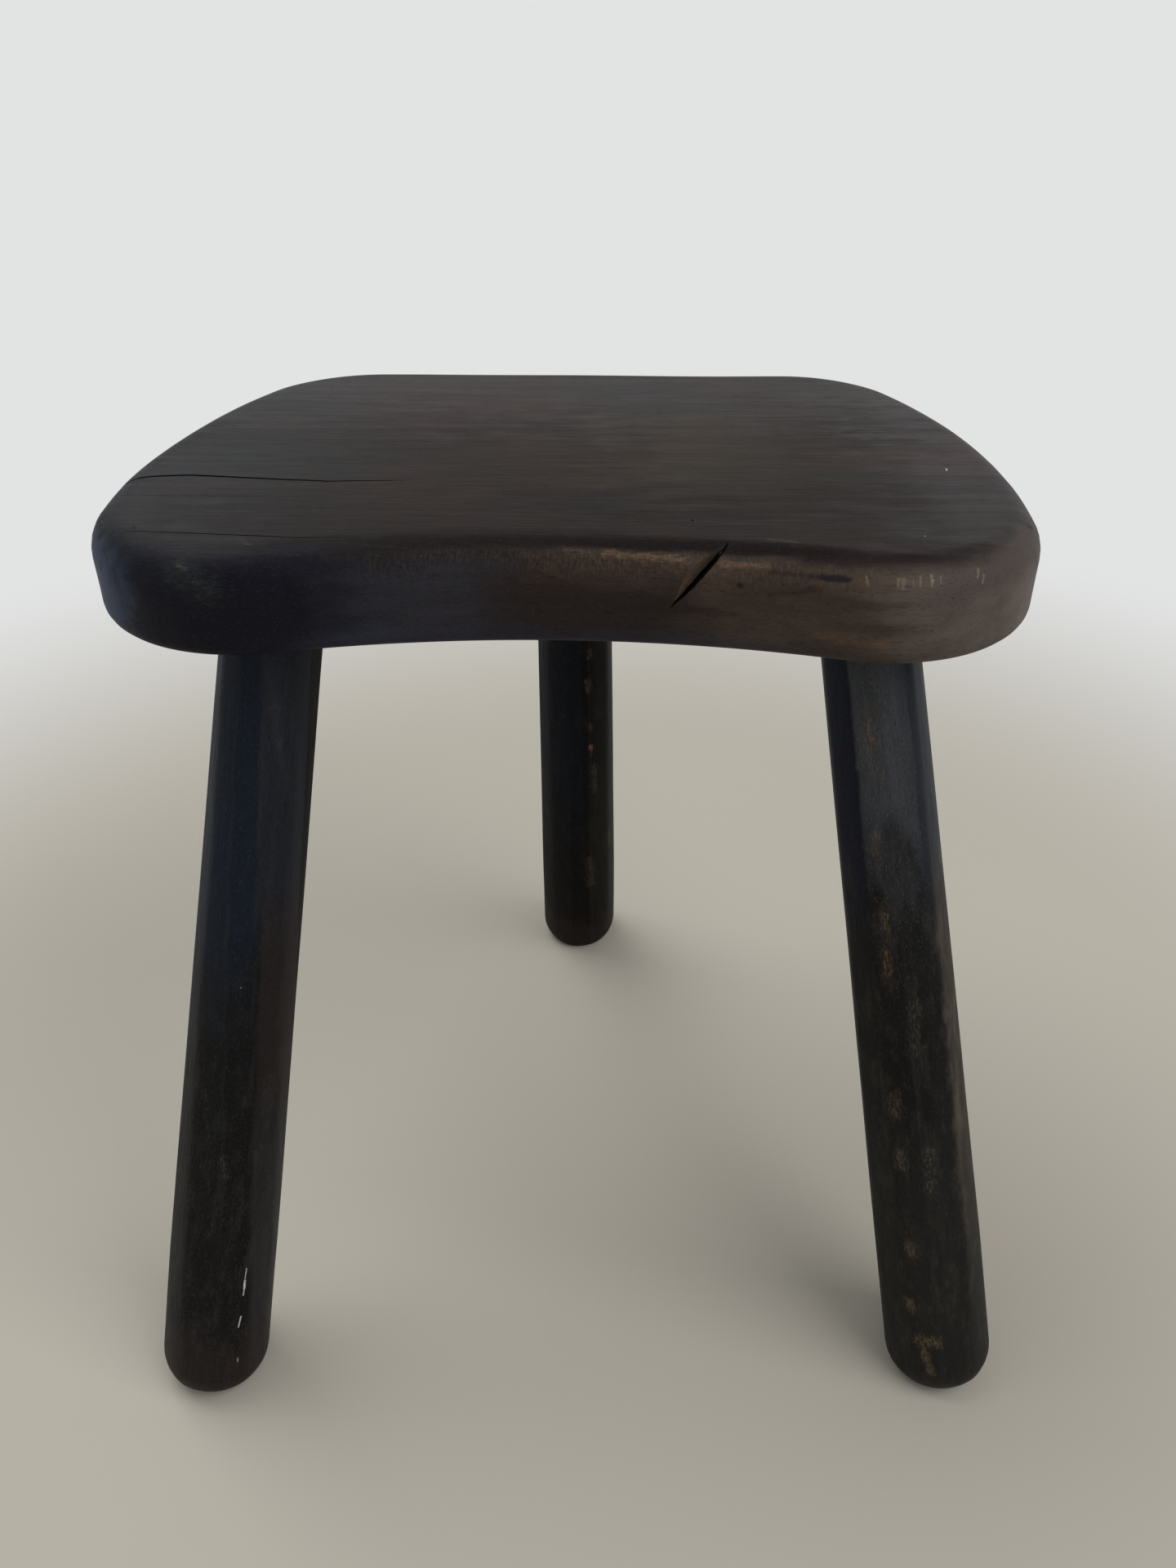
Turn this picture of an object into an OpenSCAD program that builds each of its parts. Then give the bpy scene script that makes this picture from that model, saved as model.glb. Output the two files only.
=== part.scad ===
// Three-legged wooden stool: a thick plank seat with a scooped front edge and two front lobes,
// standing on three splayed, hand-shaved legs that are thicker at the foot.
// Each leg ends in a round tenon that sits in a blind mortise under the seat and is locked
// there by a hidden wedge, driven into its saw cut by the floor of the mortise.
// Millimetres, +Z up, +X to the right and -Y towards the front (the scooped edge).
// The origin lies on the floor, under the middle of the outer box.

/* [Seat] */
// Height of the seat's top above the floor
seat_h = 400; // [320:1:480]
// Width of the seat over its sides
seat_w = 344; // [320:1:400]
// Depth of the seat from its back edge to the front of its lobes
seat_d = 238; // [215:1:270]
// Thickness of the plank
seat_t = 36; // [30:0.5:50]
// Length of the straight part of the back edge
back_flat = 188; // [140:1:210]
// Corner radius at the ends of the back edge
back_r = 58; // [40:1:64]
// Corner radius round each front lobe
lobe_r = 59; // [40:1:75]
// Turn of the side past its widest point, before the lobe begins, in degrees
side_toe = 6; // [2:0.5:15]
// Depth of the scoop in the middle of the front edge
scoop_d = 14; // [4:0.5:30]
// Worn round-over of the top edge
top_round = 12; // [4:0.5:14]
// Extra wear of the top edge at the lobes
lobe_wear = 4; // [0:0.5:8]
// Round-over of the bottom edge
low_round = 6; // [2:0.5:10]
// How far the seat is turned on its legs, in degrees
seat_turn = -2.1; // [-4:0.1:4]

/* [Legs] */
// Leg diameter at the floor
foot_d = 48; // [40:0.5:60]
// Leg diameter where it meets the seat
neck_d = 35; // [32:0.5:44]
// Rounding of the end of the foot
foot_round = 17; // [12:0.5:20]
// Wood planed off the rounded foot so that it stands flat
foot_level = 5.5; // [4:0.5:8]
// Sideways lean of the front legs, in degrees
front_out = 10.3; // [4:0.1:14]
// Forward lean of the front legs, in degrees
front_fwd = 11.5; // [4:0.1:14]
// Backward lean of the rear leg, in degrees
rear_back = 15.6; // [6:0.1:18]
// Front leg's middle, in from the side of the seat, at the underside
inset_side = 63; // [50:1:80]
// Front leg's middle, back from the front of the lobes, at the underside
inset_front = 46; // [38:1:60]
// Rear leg's middle, in from the back edge, at the underside
inset_back = 44; // [38:1:60]

/* [Joinery] */
// Diameter of the tenon
tenon_d = 26; // [20:0.5:29]
// Depth of the mortise along the leg
mortise_l = 24; // [18:0.5:25]
// Glue gap round the tenon, on the radius
glue_gap = 0.15; // [0.05:0.05:0.3]
// Gap between the end of the tenon and the floor of the mortise
end_gap = 1.5; // [0.5:0.25:3]
// Depth of the saw cut in the tenon
kerf_l = 18; // [14:0.5:20]
// Width of the saw cut at its bottom
kerf_w = 1.2; // [0.8:0.1:2]
// Thickness of the wedge where it enters the tenon
wedge_t = 4; // [2.5:0.25:6]
// Length of the wedge
wedge_l = 17; // [12:0.5:18]

/* [Hidden] */
$fn = 96;

under_z = seat_h - seat_t;

// Outline of the seat, right half, as arcs that flow into each other. Each arc is named by the
// heading of its outward normal, from 0 (towards the back) over 90 (the side) to 180 (the front).
// The side arc starts where the back corner ends, at heading h; its radius gives the width:
toe_h = 90 + side_toe;
function side_rad(h) = (seat_w / 2 - back_flat / 2 - back_r * sin(h)) / (1 - sin(h));
// depth that this heading gives, and the heading that gives the wanted depth, by halving
function depth_at(h) = back_r * (1 - cos(h)) + side_rad(h) * (cos(h) - cos(toe_h))
    + lobe_r * (1 + cos(toe_h));
function find_h(a, b, n) = n == 0 ? (a + b) / 2
    : depth_at((a + b) / 2) < seat_d ? find_h((a + b) / 2, b, n - 1) : find_h(a, (a + b) / 2, n - 1);
corner_h = find_h(1, 88, 40);
side_r = side_rad(corner_h);

// Middles of the arcs, in the seat's own frame, whose origin is the middle of its box
back_y = seat_d / 2;
back_c = [back_flat / 2, back_y - back_r];
side_c = back_c + (back_r - side_r) * [sin(corner_h), cos(corner_h)];
lobe_c = side_c + (side_r - lobe_r) * [sin(toe_h), cos(toe_h)];
// the scoop is one hollow arc that touches both lobes
scoop_a = 2 * atan(scoop_d / lobe_c[0]);
scoop_r = lobe_c[0] / sin(scoop_a) - lobe_r;
scoop_c = [0, lobe_c[1] - (scoop_r + lobe_r) * cos(scoop_a)];

function arc(c, r, a, b, n) = [for (i = [0 : n - 1]) let (h = a + (b - a) * i / n)
    [c[0] + r * sin(h), c[1] + r * cos(h), h]];
half = concat(
    arc(back_c, back_r, 0, corner_h, 10),
    arc(side_c, side_r, corner_h, toe_h, 10),
    arc(lobe_c, lobe_r, toe_h, 180 + scoop_a, 16),
    [for (i = [0 : 7]) let (h = scoop_a * (1 - i / 8))
        [scoop_c[0] + scoop_r * sin(h), scoop_c[1] + scoop_r * cos(h), 180 + h]]);
last = len(half) - 1;
outline = concat(half, [[0, scoop_c[1] + scoop_r, 180]],
    [for (i = [0 : last]) let (p = half[last - i]) [-p[0], p[1], -p[2]]]);

// The top edge is worn most at the front of the lobes, and not at all along the back
function wear(p) = lobe_wear * max(0, -cos(p[2])) * abs(p[0]) / (seat_w / 2);
// The edge profile, from the underside to the top: [inset from the outline, height]
low_n = 4;
top_n = 6;
function edge(p) = let (t = top_round + wear(p)) concat(
    [for (i = [0 : low_n]) let (a = 90 * i / low_n) [low_round * (1 - sin(a)), low_round * (1 - cos(a))]],
    [for (i = [0 : top_n]) let (a = 90 * i / top_n) [t * (1 - cos(a)), seat_t - t * (1 - sin(a))]]);
rings = low_n + top_n + 2;
count = len(outline);
seat_points = [for (j = [0 : rings - 1]) for (p = outline) let (e = edge(p)[j])
    [p[0] - e[0] * sin(p[2]), p[1] - e[0] * cos(p[2]), e[1]]];
seat_faces = concat(
    [[for (i = [0 : count - 1]) count - 1 - i]],
    [[for (i = [0 : count - 1]) (rings - 1) * count + i]],
    [for (j = [0 : rings - 2]) for (i = [0 : count - 1]) for (f = [0, 1])
        let (k = (i + 1) % count, a = j * count + i, b = (j + 1) * count + k)
        f == 0 ? [a, j * count + k, b] : [a, b, (j + 1) * count + i]]);

// A leg is [x, y of its middle at the underside, lean in x and lean in y as slopes going up]
left_leg = [-(seat_w / 2 - inset_side), -back_y + inset_front, tan(front_out), tan(front_fwd)];
right_leg = [seat_w / 2 - inset_side, -back_y + inset_front, -tan(front_out), tan(front_fwd)];
rear_leg = [0, back_y - inset_back, 0, -tan(rear_back)];

// Rounded end of a foot: where its flat end lies along the leg, so that levelling takes foot_level
function slope(l) = sqrt(1 + l[2] * l[2] + l[3] * l[3]);
function foot_s(l) = let (c = 1 / slope(l), s = sqrt(1 - c * c))
    (foot_round - foot_level + (foot_d / 2 - foot_round) * s) / c - foot_round;
// How far forward or back the rounded foot reaches, for d = -1 or 1
function reach(l, d) = let (c = d * l[3] / slope(l))
    l[1] * d - under_z * l[3] * d + (foot_s(l) + foot_round) * c
    + (foot_d / 2 - foot_round) * sqrt(1 - c * c) + foot_round;
// The middle of the outer box, seen from the middle of the seat
mid_y = (reach(rear_leg, 1) - reach(left_leg, -1)) / 2;

// Puts what is drawn along +Z from a leg's foot onto that leg
module on_leg(l) {
    translate([l[0] - under_z * l[2], l[1] - under_z * l[3] - mid_y, 0])
        rotate([-asin(l[3] / slope(l)), atan(l[2]), 0]) children();
}

// Distances along a leg from its foot
function neck_s(l) = under_z * slope(l);
function mortise_s(l) = neck_s(l) + mortise_l;
function tenon_s(l) = mortise_s(l) - end_gap;

// Half thickness of the wedge at z above the end of the tenon; the saw cut opens to the same taper
function wedge_half(z) = (wedge_t + (wedge_t - kerf_w) * z / kerf_l) / 2;
module wedge_bar(a, b) {
    rotate([90, 0, 0]) linear_extrude(height = tenon_d + 2, center = true)
        polygon([[-wedge_half(a), a], [wedge_half(a), a], [wedge_half(b), b], [-wedge_half(b), b]]);
}

// The leg as turned: rounded foot and straight taper, running on past the shoulder
module shaft(l) {
    e = foot_s(l);
    s = neck_s(l);
    top = s + neck_d / 2;
    r = foot_d / 2;
    taper = (neck_d - foot_d) / 2 / s;
    rotate_extrude() polygon(concat(
        [[0, e], [r - foot_round, e]],
        [for (i = [1 : 8]) let (a = 90 * i / 8)
            [r - foot_round * (1 - sin(a)), e + foot_round * (1 - cos(a))]],
        [[r + taper * top, top], [0, top]]));
}

module leg(l) {
    color([0.11, 0.075, 0.055]) difference() {
        union() {
            // the shaft between the floor and the scribed shoulder under the seat
            intersection() {
                on_leg(l) shaft(l);
                translate([-seat_w, -seat_w - mid_y, 0]) cube([2 * seat_w, 2 * seat_w, under_z]);
            }
            on_leg(l) translate([0, 0, neck_s(l) - neck_d])
                cylinder(d = tenon_d, h = tenon_s(l) - neck_s(l) + neck_d);
        }
        // saw cut across the grain of the seat, opened by the wedge
        on_leg(l) translate([0, 0, tenon_s(l)]) wedge_bar(-kerf_l, 2);
    }
}

module wedge(l) {
    color([0.36, 0.25, 0.16]) on_leg(l) translate([0, 0, tenon_s(l)]) intersection() {
        wedge_bar(end_gap - wedge_l, end_gap);
        translate([0, 0, -wedge_l]) cylinder(d = tenon_d, h = wedge_l + end_gap);
    }
}

module seat() {
    color([0.13, 0.085, 0.06]) difference() {
        translate([0, -mid_y, under_z]) rotate([0, 0, seat_turn])
            polyhedron(points = seat_points, faces = seat_faces, convexity = 4);
        for (l = [left_leg, right_leg, rear_leg])
            on_leg(l) translate([0, 0, neck_s(l) - neck_d])
                cylinder(d = tenon_d + 2 * glue_gap, h = mortise_l + neck_d);
    }
}

module leg_front_left() { leg(left_leg); }
module leg_front_right() { leg(right_leg); }
module leg_rear() { leg(rear_leg); }
module wedge_front_left() { wedge(left_leg); }
module wedge_front_right() { wedge(right_leg); }
module wedge_rear() { wedge(rear_leg); }

seat();
leg_front_left();
leg_front_right();
leg_rear();
wedge_front_left();
wedge_front_right();
wedge_rear();
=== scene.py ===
# %% [markdown]
# # A three-legged stool in dark stained wood
# The stool is a thick plank seat with a scooped front edge, on three splayed legs that were shaved
# by hand. Its construction comes in as a fixed frame of solids. Here the plank and the legs are
# made again with the shape that years of use gave them: soft edges, shaved facets, cracks and a
# gouge.

# %% Load the frame
import math
import random

import bmesh
import bpy
import numpy as np
from mathutils import Matrix, Vector, noise
from mathutils.bvhtree import BVHTree


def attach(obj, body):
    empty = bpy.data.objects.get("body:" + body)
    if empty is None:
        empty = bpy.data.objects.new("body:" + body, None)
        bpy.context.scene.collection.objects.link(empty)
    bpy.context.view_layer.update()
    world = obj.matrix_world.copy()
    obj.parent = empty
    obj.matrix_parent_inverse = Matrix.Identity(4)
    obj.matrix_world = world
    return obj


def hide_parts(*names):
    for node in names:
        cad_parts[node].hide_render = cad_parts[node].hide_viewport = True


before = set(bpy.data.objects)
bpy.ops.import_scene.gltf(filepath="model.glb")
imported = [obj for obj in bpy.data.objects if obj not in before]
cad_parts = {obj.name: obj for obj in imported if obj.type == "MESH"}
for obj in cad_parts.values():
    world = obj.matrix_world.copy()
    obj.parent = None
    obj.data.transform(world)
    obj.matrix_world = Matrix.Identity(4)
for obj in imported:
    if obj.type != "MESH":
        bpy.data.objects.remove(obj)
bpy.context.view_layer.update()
print("frame nodes:", sorted(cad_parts))

# %% [markdown]
# ## The camera
# The viewpoint is set first, because every detail that is placed one by one is judged from it. It
# stands half a metre in front of the stool's middle and a little above its seat, and looks down on
# it. A lens could be chosen by taste, but only the right one gives the legs their strong taper:
# 27 mm on a 36 mm sensor, which is that of a pocket camera.

# %% Camera
CAMERA_AT = Vector((0.0066, -0.4882, 0.5523))
CAMERA_DOWN = math.radians(33.62)
CAMERA_ROLL = math.radians(-0.26)
CAMERA_LENS = 27.36

view = bpy.data.cameras.new("camera")
view.lens = CAMERA_LENS
view.sensor_width = 36.0
view.clip_start = 0.01
camera = bpy.data.objects.new("camera", view)
camera.matrix_world = (Matrix.Translation(CAMERA_AT)
                       @ Matrix.Rotation(math.pi / 2 - CAMERA_DOWN, 4, "X")
                       @ Matrix.Rotation(CAMERA_ROLL, 4, "Z"))
bpy.context.scene.collection.objects.link(camera)
bpy.context.scene.camera = camera
print("camera at", [round(c, 3) for c in CAMERA_AT], "with a lens of", CAMERA_LENS, "mm")

# %% [markdown]
# ## Small helpers
# Every piece is built in a bmesh, a mesh that lives in memory and is shaped with operators. These
# helpers turn it into an object, apply the modifiers that finish it, and cut one shape with
# another. A cut could be modelled by hand, face by face. It runs as a Boolean modifier instead,
# which is applied at once, so that no live modifier stays behind.

# %% Helpers for pieces
MM = 0.001


def to_object(bm, name, finish):
    """Turns a bmesh into an object of that name and finish, standing at the origin."""
    mesh = bpy.data.meshes.new(name)
    bm.to_mesh(mesh)
    bm.free()
    mesh.materials.append(finish)
    obj = bpy.data.objects.new(name, mesh)
    bpy.context.scene.collection.objects.link(obj)
    return obj


def combine(obj, tool, operation="DIFFERENCE"):
    """Cuts the tool out of the object, or joins it on, and throws the tool away. Faces that the
    tool leaves behind keep the tool's material."""
    step = obj.modifiers.new("step", "BOOLEAN")
    step.operation = operation
    step.solver = "EXACT"
    step.material_mode = "TRANSFER"
    step.object = tool
    bpy.context.view_layer.update()
    graph = bpy.context.evaluated_depsgraph_get()
    made = bpy.data.meshes.new_from_object(obj.evaluated_get(graph), depsgraph=graph)
    obj.modifiers.clear()
    old, obj.data = obj.data, made
    made.name = obj.name
    bpy.data.meshes.remove(old)
    bpy.data.objects.remove(tool)


# %% Shade and measure
SHARP = math.radians(32)


def shade(obj):
    """Keeps sharp edges crisp and shades the rest smoothly."""
    bm = bmesh.new()
    bm.from_mesh(obj.data)
    bmesh.ops.remove_doubles(bm, verts=bm.verts, dist=0.0005 * MM)
    for face in bm.faces:
        face.smooth = True
    for edge in bm.edges:
        edge.smooth = len(edge.link_faces) == 2 and edge.calc_face_angle(0) < SHARP
    bm.to_mesh(obj.data)
    bm.free()


def report(obj):
    """Prints how heavy a mesh is and whether it is closed."""
    bm = bmesh.new()
    bm.from_mesh(obj.data)
    open_edges = sum(len(edge.link_faces) != 2 for edge in bm.edges)
    tris = sum(len(face.verts) - 2 for face in bm.faces)
    volume = bm.calc_volume() * 1e6
    print(f"{obj.name}: {tris} triangles, {open_edges} open edges, volume {volume:.1f} cm3")
    bm.free()


# %% [markdown]
# ## The outline of the seat
# The real plank was sawn to a kidney-like outline: a straight back edge, rounded back corners, long
# bowed sides, two round front lobes and a shallow scoop between them. Each part of it is an arc
# that flows into the next. It could be a curve object with handles, but arcs are exact and keep
# their radii, so one vertex is spun about one centre after another and leaves the half outline
# behind it.

# %% Seat sizes
SEAT_TOP, SEAT_THICK = 400.0 * MM, 36.0 * MM
SEAT_UNDER = SEAT_TOP - SEAT_THICK
SEAT_HALF = 172.0 * MM
BACK_HALF, BACK_Y = 94.0 * MM, 119.0 * MM
BACK_RADIUS, SIDE_RADIUS = 58.0 * MM, 298.323 * MM
LOBE_RADIUS, SCOOP_RADIUS = 59.0 * MM, 393.515 * MM
CORNER_TURN, SIDE_TURN, SCOOP_TURN = (math.radians(a) for a in (66.4596, 29.5404, 14.2893))
TOP_ROUND, LOBE_WEAR, LOW_ROUND = 12.0 * MM, 4.0 * MM, 6.0 * MM
SEAT_MIDDLE_Y = -14.215 * MM
SEAT_TWIST = math.radians(-2.1)
SEAT_PLACE = Matrix.Translation((0, SEAT_MIDDLE_Y, 0)) @ Matrix.Rotation(SEAT_TWIST, 4, "Z")
CLOSE = 0.02 * MM
print("plank:", 2 * SEAT_HALF / MM, "by", 2 * BACK_Y / MM, "by", round(SEAT_THICK / MM, 1), "mm")


# %% Draw the outline
def swept_arc(bm, start, centre, turn, steps):
    """Spins one vertex about a centre, clockwise from above, and gives the last vertex."""
    made = bmesh.ops.spin(bm, geom=[start], cent=centre, axis=(0, 0, -1), angle=turn,
                          steps=steps, use_duplicate=False)
    return next(v for v in made["geom_last"] if isinstance(v, bmesh.types.BMVert))


def heading(angle):
    """The flat direction at this angle from the back, clockwise from above."""
    return Vector((math.sin(angle), math.cos(angle), 0))


def seat_outline(bm):
    """Draws the seat's outline at the underside as one flat face."""
    lobe_turn = math.pi + SCOOP_TURN - CORNER_TURN - SIDE_TURN
    corner = Vector((BACK_HALF, BACK_Y - BACK_RADIUS, SEAT_UNDER))
    side = corner + heading(CORNER_TURN) * (BACK_RADIUS - SIDE_RADIUS)
    lobe = side + heading(CORNER_TURN + SIDE_TURN) * (SIDE_RADIUS - LOBE_RADIUS)
    scoop = lobe + heading(math.pi + SCOOP_TURN) * (LOBE_RADIUS + SCOOP_RADIUS)
    last = bm.verts.new((BACK_HALF, BACK_Y, SEAT_UNDER))
    for centre, turn, steps in ((corner, CORNER_TURN, 22), (side, SIDE_TURN, 34),
                                (lobe, lobe_turn, 30), (scoop, -SCOOP_TURN, 22)):
        last = swept_arc(bm, last, centre, turn, steps)
    bmesh.ops.mirror(bm, geom=bm.verts[:] + bm.edges[:], axis="X", merge_dist=CLOSE)
    bm.edges.new([v for v in bm.verts if len(v.link_edges) == 1])
    bmesh.ops.contextual_create(bm, geom=bm.edges[:])


bm = bmesh.new()
seat_outline(bm)
bm.faces.ensure_lookup_table()
rim = np.array([v.co.xy for v in bm.faces[0].verts])
print("outline vertices:", len(rim))

# %% [markdown]
# ## The plank
# The outline is extruded to the plank's thickness and its two rims are bevelled round: a wide worn
# one on top, a narrow one below. Bevel needs the rims alone, so they are picked by their height.
# The flat faces are then sliced into a fine grid, because a large flat face can neither take gentle
# hollows nor blend its shading into the round edge without a smear. A subdivision would make a grid
# too, but it would also move the outline.

# %% Extrude and round
made = bmesh.ops.extrude_face_region(bm, geom=bm.faces[:])
lifted = [v for v in made["geom"] if isinstance(v, bmesh.types.BMVert)]
bmesh.ops.translate(bm, vec=(0, 0, SEAT_THICK), verts=lifted)
bmesh.ops.recalc_face_normals(bm, faces=bm.faces)
for level, radius, steps in ((SEAT_TOP, TOP_ROUND, 9), (SEAT_UNDER, LOW_ROUND, 5)):
    edges = [e for e in bm.edges if all(abs(v.co.z - level) < CLOSE for v in e.verts)]
    bmesh.ops.bevel(bm, geom=edges, offset=radius, offset_type="OFFSET", affect="EDGES",
                    segments=steps, profile=0.5, material=-1)
print("rounded plank:", len(bm.faces), "faces")

# %% Slice into a grid
GRID = 5.5 * MM
BAND_HEIGHTS = [h * MM for h in (371.0, 376.0, 381.0, 386.0)]


def slice_at(bm, point, normal):
    """Cuts every face along a plane, and keeps both sides of it."""
    bmesh.ops.bisect_plane(bm, geom=bm.verts[:] + bm.edges[:] + bm.faces[:], dist=CLOSE,
                           plane_co=point, plane_no=normal)


for across, reach in ((Vector((1, 0, 0)), SEAT_HALF), (Vector((0, 1, 0)), BACK_Y)):
    for i in range(1, int(2 * reach / GRID)):
        slice_at(bm, across * (i * GRID - reach), across)
for height in BAND_HEIGHTS:
    slice_at(bm, (0, 0, height), (0, 0, 1))
print("gridded plank:", len(bm.faces), "faces")


# %% [markdown]
# ## Wear of the plank
# Hands, clothes and floors have rounded the two front lobes more than the back, and the top has
# settled into shallow hollows along the grain. Sculpting could show that, but not twice the same.
# So each vertex is asked how far it lies inside the outline, and the round of the edge is widened
# there by the wear of that stretch. The rest is a little slow noise along the normals, under half a
# millimetre, as from a hand plane, and one broad dish in the middle.

# %% Distance from the outline
def inside_rim(points):
    """For flat points: how far each lies inside the outline, and the outward direction there."""
    ends = np.roll(rim, -1, axis=0)
    along = ends - rim
    outward = np.stack([-along[:, 1], along[:, 0]], axis=1)
    outward /= np.linalg.norm(outward, axis=1)[:, None]
    if ((rim + outward * MM) ** 2).sum() < (rim ** 2).sum():
        outward = -outward
    share = ((points[:, None] - rim) * along).sum(2) / (along ** 2).sum(1)
    nearest = rim + np.clip(share, 0, 1)[..., None] * along
    gap = np.linalg.norm(points[:, None] - nearest, axis=2)
    best = gap.argmin(axis=1)
    return gap[np.arange(len(points)), best], outward[best]


print("the middle is", round(inside_rim(np.zeros((1, 2)))[0][0] / MM, 1), "mm inside the outline")


# %% Wear of the edge
def widen_round(bm):
    """Widens the round of the top edge by the wear of each stretch of the rim."""
    reach, least = 42.0 * MM, 0.01 * MM
    side_top, side_low = SEAT_TOP - TOP_ROUND, SEAT_UNDER + LOW_ROUND
    flat = np.array([v.co.xy for v in bm.verts])
    gaps, outwards = inside_rim(flat)
    for vert, gap, out in zip(bm.verts, gaps, outwards):
        wear = LOBE_WEAR * max(0.0, -out[1]) * abs(vert.co.x) / SEAT_HALF
        if wear < least or gap > reach or vert.co.z < side_low:
            continue
        if vert.co.z > side_top:
            vert.co.z = SEAT_TOP - (SEAT_TOP - vert.co.z) * (1 + wear / TOP_ROUND)
            move = wear * min(gap / TOP_ROUND, (reach - gap) / (reach - TOP_ROUND))
            vert.co.xy -= Vector(out) * move
        else:
            vert.co.z -= wear * (vert.co.z - side_low) / (side_top - side_low)


widen_round(bm)
print("the round is", TOP_ROUND / MM, "mm and up to", (TOP_ROUND + LOBE_WEAR) / MM, "mm at a lobe")

# %% Hollows
WAVES, PLANED, DISHED = 0.32 * MM, 0.07 * MM, 0.5 * MM


def share_of(value, low, high):
    """How far a value has come on its way from low to high, between 0 and 1."""
    return min(1.0, max(0.0, (value - low) / (high - low)))


def settle(bm):
    """Adds the slow unevenness of a hand-made board above its underside."""
    bm.normal_update()
    for vert in bm.verts:
        share = share_of(vert.co.z, SEAT_UNDER + 2 * MM, SEAT_UNDER + 10 * MM)
        slow = noise.noise(vert.co * 17.0 + Vector((3.1, 7.7, 1.9))) - 0.35
        fine = noise.noise(Vector((vert.co.x * 14, vert.co.y * 75, vert.co.z * 75)))
        dish = (math.cos(min(math.pi, 11 * vert.co.xy.length)) + 1) / 2 * max(0.0, vert.normal.z)
        vert.co += vert.normal * share * (WAVES * slow + PLANED * fine - DISHED * dish)


settle(bm)
bmesh.ops.transform(bm, matrix=SEAT_PLACE, verts=bm.verts)
STAINED_SEAT = bpy.data.materials.new("stained_seat")
seat = to_object(bm, "seat_plank", STAINED_SEAT)
report(seat)

# %% [markdown]
# ## Cracks
# The plank has dried and opened along the grain at its left end. A crack could be painted, but a
# real gap has depth and its own shadow, so it is cut from the mesh. The cutter starts as a sphere
# with four sides, which is a spindle with pointed ends. Stretched along a path it makes a crack
# that opens and closes as a real one does.

# %% Crack cutters
# near black for the cracks, the slit and the pin hole: old dirt, and painted shade of the deep gaps
CRACK_DIRT_AND_SHADE = bpy.data.materials.new("crack_dirt_and_shade")
WANDER, FRAY = 0.45 * MM, 0.12 * MM


def spindle(rings, place):
    """A spindle along Z with four flat sides and pointed ends, placed by a matrix."""
    bm = bmesh.new()
    bmesh.ops.create_uvsphere(bm, u_segments=4, v_segments=rings, radius=1.0, matrix=place)
    return bm


def crack(name, path, mouth, depth, open_end):
    """A blade that follows a path over the top: mouth and depth are its largest, and open_end says
    that it runs out through the left edge at full size."""
    first, last = Vector(path[0]), Vector(path[-1])
    length = (last - first).length
    middle, half = (first, length) if open_end else ((first + last) / 2, length / 2)
    stretch = Matrix.Diagonal((half, mouth / 2, depth, 1)) @ Matrix.Rotation(math.pi / 2, 4, "Y")
    bm = spindle(64, stretch)
    random.seed(name)
    shake = random.random() * 50
    for vert in bm.verts:
        x = middle.x + vert.co.x
        below = next((i for i in range(len(path) - 2) if x < path[i + 1][0]), len(path) - 2)
        (x0, y0), (x1, y1) = path[below:below + 2]
        y = y0 + (y1 - y0) * (x - x0) / (x1 - x0)
        wander = WANDER * noise.noise(Vector((x * 90, shake, 0)))
        vert.co.x = x
        vert.co.y += y + wander + FRAY * noise.noise(Vector((x * 500, shake, 5)))
        vert.co.z += SEAT_TOP
    return to_object(bm, name, CRACK_DIRT_AND_SHADE)


# %% Cut the cracks
# each crack: its path, mouth and depth in millimetres, and whether it is open at the left edge
CRACKS = {
    "long_crack": (((-171, -51.5), (-163, -48.2), (-154, -46), (-145, -45.4), (-116, -49.2),
                    (-91, -51.9), (-58, -51.2)), 1.6, 15.0, True),
    "lobe_crack": (((-158, -100.2), (-129, -103.2), (-109, -105.6), (-92, -107.6),
                    (-68, -108.4)), 0.75, 5.0, False),
    "hair_crack": (((-166, -66.5), (-140, -67.2), (-112, -68.5)), 0.35, 2.0, False),
}
for name, (path, mouth, depth, open_end) in CRACKS.items():
    path = [(x * MM, y * MM) for x, y in path]
    combine(seat, crack(name, path, mouth * MM, depth * MM, open_end))
report(seat)

# %% [markdown]
# ## The gouge and the pin hole
# Something sharp once took a sliver out of the front edge, and the wood split on behind it. Near it
# is a hole as from a pin. The sliver could be pressed in by moving vertices, but its edges are far
# sharper than the mesh is fine. So it is cut with a wedge of four corners: one of its faces leaves
# the pale facet, the next one the wall behind it. A thin blade then opens the slit.

# %% The gouge
FRESH_WOOD = bpy.data.materials.new("fresh_wood")
GOUGE_LOW, GOUGE_HIGH = Vector((35.0, -122.6, 380.6)) * MM, Vector((53.6, -114.4, 399.7)) * MM
GOUGE_MIDDLE = (GOUGE_LOW + GOUGE_HIGH) / 2
GOUGE_OUT, GOUGE_LEFT = Vector((0.04, -0.97, 0.20)), Vector((-0.72, 0.05, 0.69))
WALL_REACH, FACET_REACH, FACET_WIDTH = 9.0 * MM, 7.5 * MM, 9.5 * MM
SLIT_WIDTH, SLIT_DEPTH, SLIT_START, SLIT_LENGTH = 0.60 * MM, 8.0 * MM, 1.0 * MM, 0.56
TORN, SLIT_FRAY = 0.22 * MM, 0.35 * MM


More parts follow.
